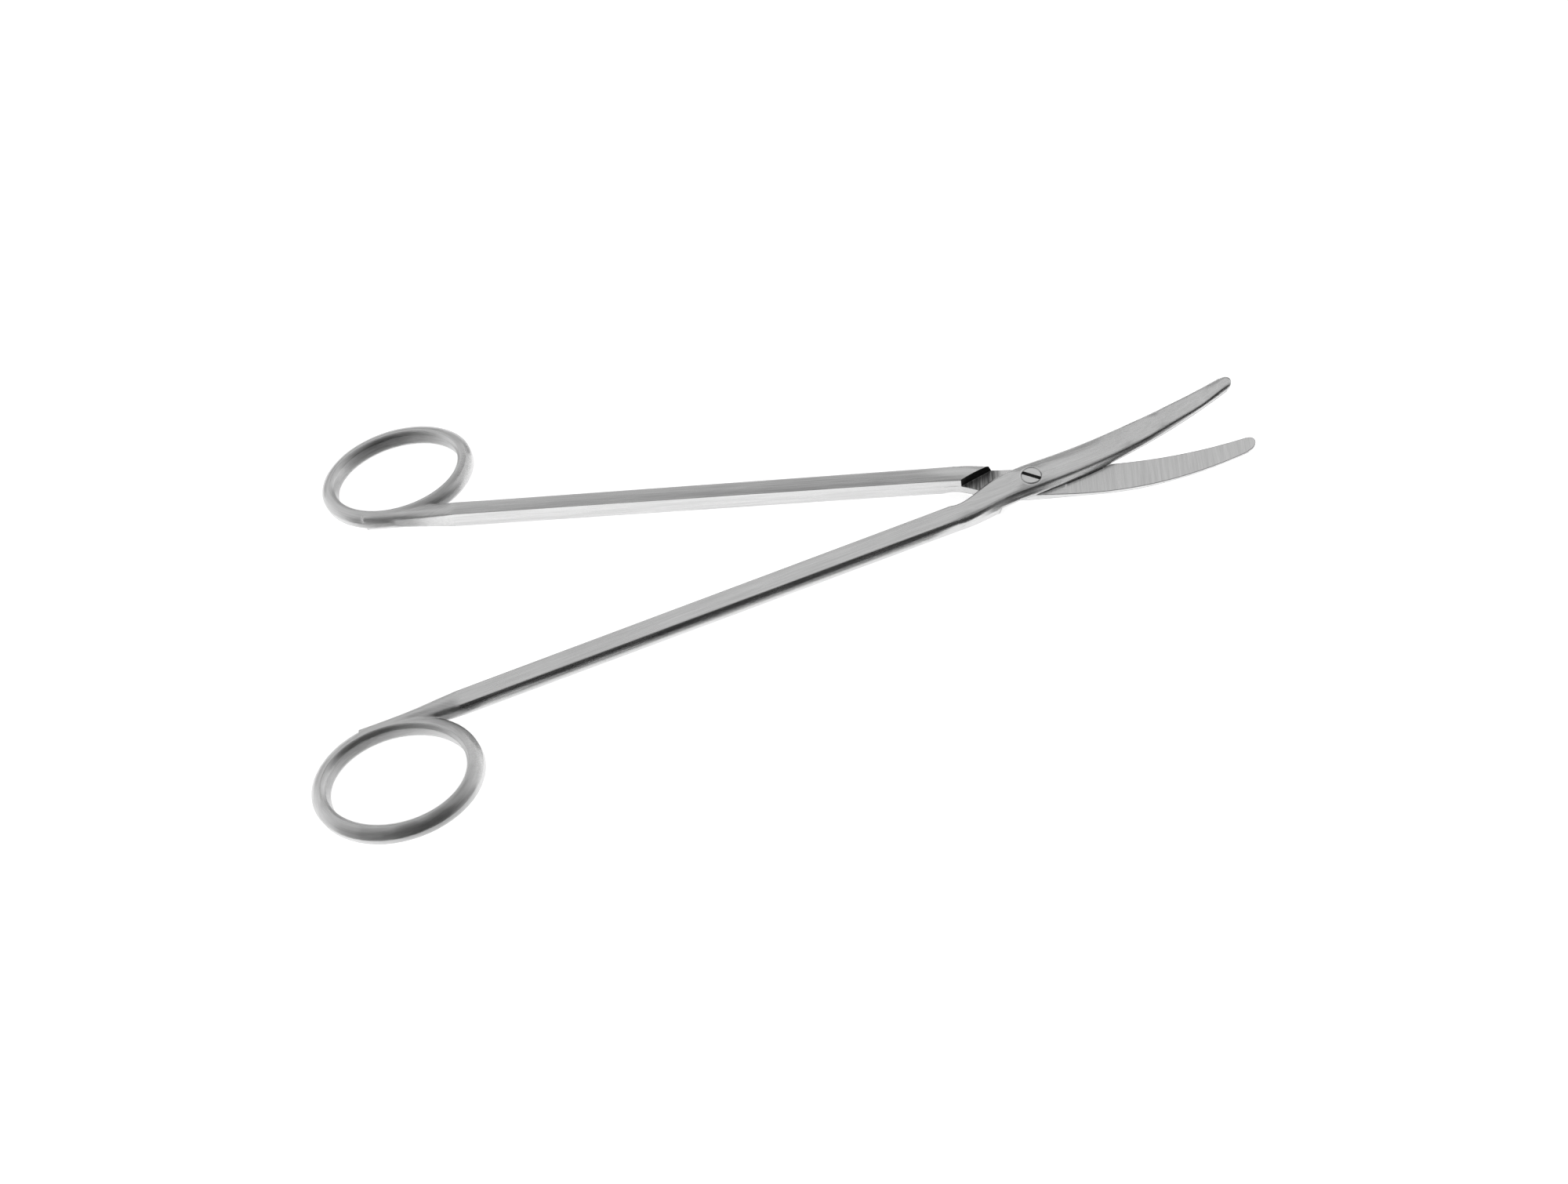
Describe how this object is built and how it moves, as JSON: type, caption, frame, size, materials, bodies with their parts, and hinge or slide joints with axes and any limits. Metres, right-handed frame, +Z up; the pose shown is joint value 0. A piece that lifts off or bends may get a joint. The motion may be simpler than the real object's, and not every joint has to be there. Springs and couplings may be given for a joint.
{
  "type": "dissecting scissors",
  "caption": "Slender curved dissecting scissors: long shanks, oval finger rings, a slotted screw joint and short blunt blades that curve up.",
  "frame": {"origin": "on the pivot axis, in the flat underside of the joint, the plane that the scissors lie on", "axes": "+X from the pivot towards the tips along the line that halves the opening, +Y to the left of the blades, towards the tip of the half with the screw head, +Z up from the resting plane along the pivot axis, the way the blades curve"},
  "size_m": [0.224, 0.1194, 0.0131],
  "materials": {
    "satin_steel": "satin, finely ground",
    "screw_steel": "turned and brushed"
  },
  "bodies": {
    "lower": {"lower_half": "satin_steel", "joint_screw": "screw_steel"},
    "upper": {"upper_half": "satin_steel"}
  },
  "joints": [
    {"name": "pivot", "type": "hinge", "parent": "lower", "child": "upper", "pos_m": [0, 0, 0.0026], "axis": [0, 0, 1], "range_deg": [-20.8, 40]}
  ]
}
